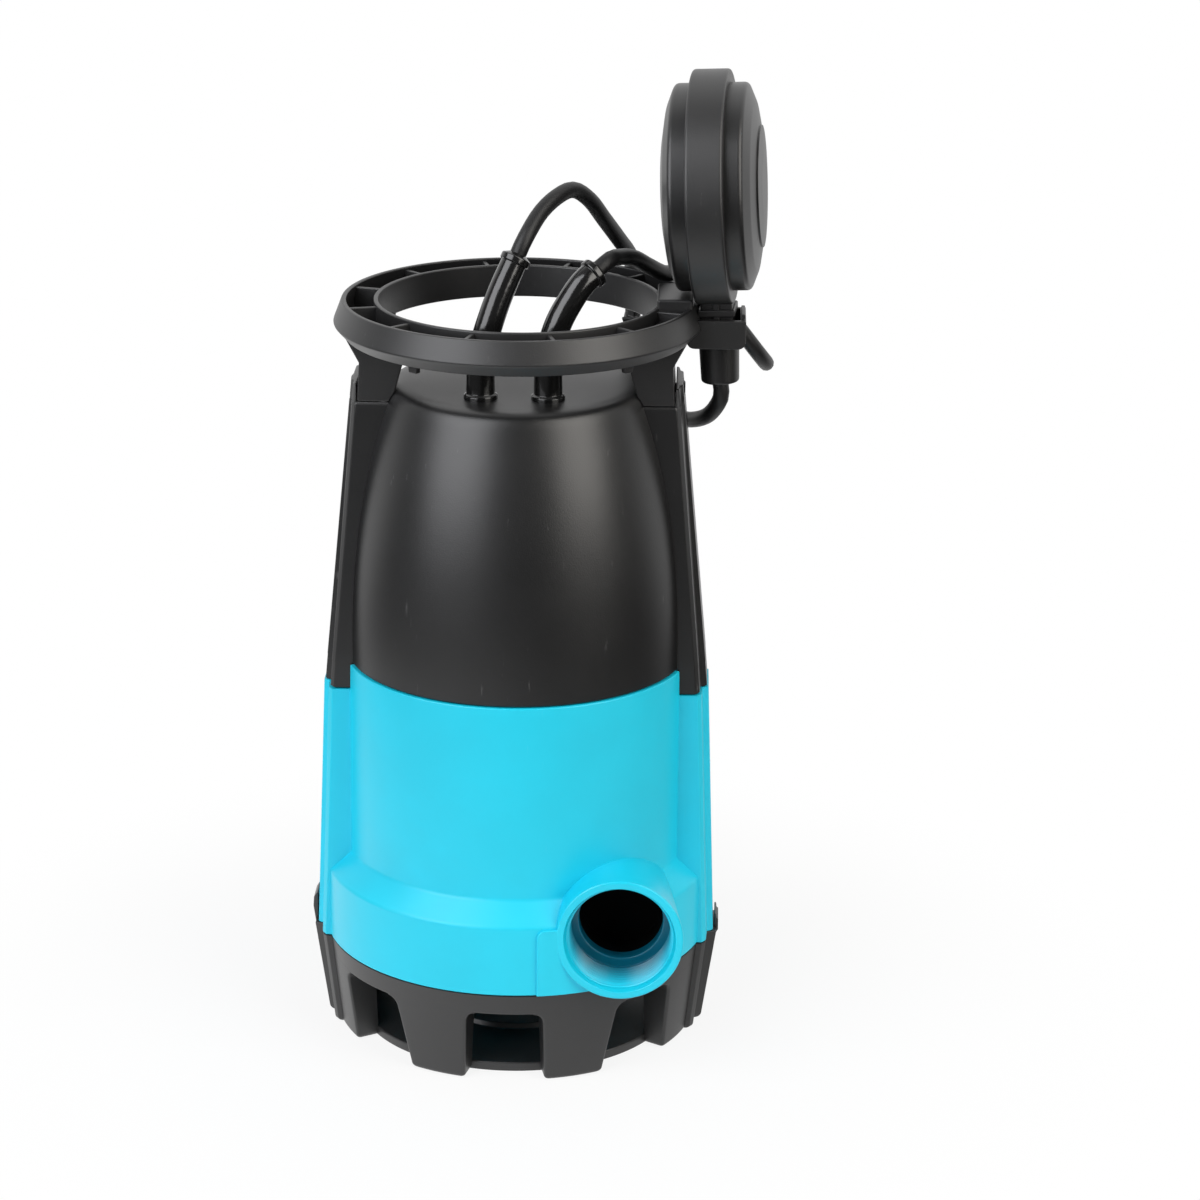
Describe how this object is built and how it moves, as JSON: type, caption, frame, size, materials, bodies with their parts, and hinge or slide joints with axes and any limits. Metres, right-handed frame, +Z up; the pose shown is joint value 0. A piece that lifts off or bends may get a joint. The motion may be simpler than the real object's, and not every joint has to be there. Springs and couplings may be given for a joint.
{
  "type": "submersible sump pump",
  "caption": "Submersible dirty-water sump pump: turquoise pump casing with a threaded side outlet, black motor housing, slotted base, ring handle and a float switch on its cable",
  "frame": {"origin": "on the pump's axis in the plane of the base's underside, where it stands on the floor", "axes": "Z up along the motor shaft, X toward the float holder, -Y out of the outlet"},
  "size_m": [0.2193, 0.3874, 0.4522],
  "materials": {
    "turquoise_plastic": "moulded, half gloss",
    "black_plastic": "moulded, satin with a fine grain",
    "grey_black_plastic": "moulded, satin",
    "inner_plastic": "moulded, glass filled",
    "glossy_rubber": "moulded, glossy",
    "cable_rubber": "matte sheath",
    "seal_rubber": "matte",
    "steel": "machined",
    "silicon_steel": "stacked sheet",
    "cast_aluminium": "die cast",
    "copper_winding": "varnished wire",
    "white_plastic": "moulded",
    "nickel_pin": "nickel plated"
  },
  "bodies": {
    "pump": {"base_strainer": "grey_black_plastic", "suction_plate": "inner_plastic", "pump_casing": "turquoise_plastic", "motor_housing": "black_plastic", "handle": "grey_black_plastic", "handle_screw_left": "steel", "handle_screw_right": "steel", "base_screw_1": "steel", "base_screw_2": "steel", "base_screw_3": "steel", "base_screw_4": "steel", "housing_o_ring": "seal_rubber", "shaft_seal": "seal_rubber", "lower_bearing_bracket": "cast_aluminium", "upper_bearing_bracket": "cast_aluminium", "lower_bearing": "steel", "upper_bearing": "steel", "motor_can": "steel", "stator_core": "silicon_steel", "winding_lower": "copper_winding", "winding_upper": "copper_winding", "run_capacitor": "white_plastic", "float_cable_boot": "glossy_rubber", "power_cable_boot": "glossy_rubber", "float_cable": "cable_rubber", "power_cord": "cable_rubber", "power_cord_coil": "cable_rubber", "cord_tie": "seal_rubber", "power_plug": "glossy_rubber", "plug_pin_a": "nickel_pin", "plug_pin_b": "nickel_pin"},
    "rotor": {"rotor_shaft": "steel", "rotor_core": "silicon_steel", "impeller": "inner_plastic", "impeller_nut": "steel"},
    "float": {"float_shell_left": "black_plastic", "float_shell_right": "black_plastic", "float_band": "grey_black_plastic", "float_gland": "black_plastic", "switch_carrier": "inner_plastic", "microswitch": "inner_plastic"},
    "ball": {"switch_ball": "steel"}
  },
  "joints": [
    {"name": "rotor_spin", "type": "hinge", "parent": "pump", "child": "rotor", "pos_m": [0, 0, 0.1], "axis": [0, 0, 1], "continuous": true},
    {"name": "float_lift", "type": "slide", "parent": "pump", "child": "float", "axis": [-0.0523, 0, 0.9986], "range_m": [0, 0.045]},
    {"name": "switch_ball_roll", "type": "slide", "parent": "float", "child": "ball", "axis": [-0.0523, 0, 0.9986], "range_m": [0, 0.0262]}
  ]
}
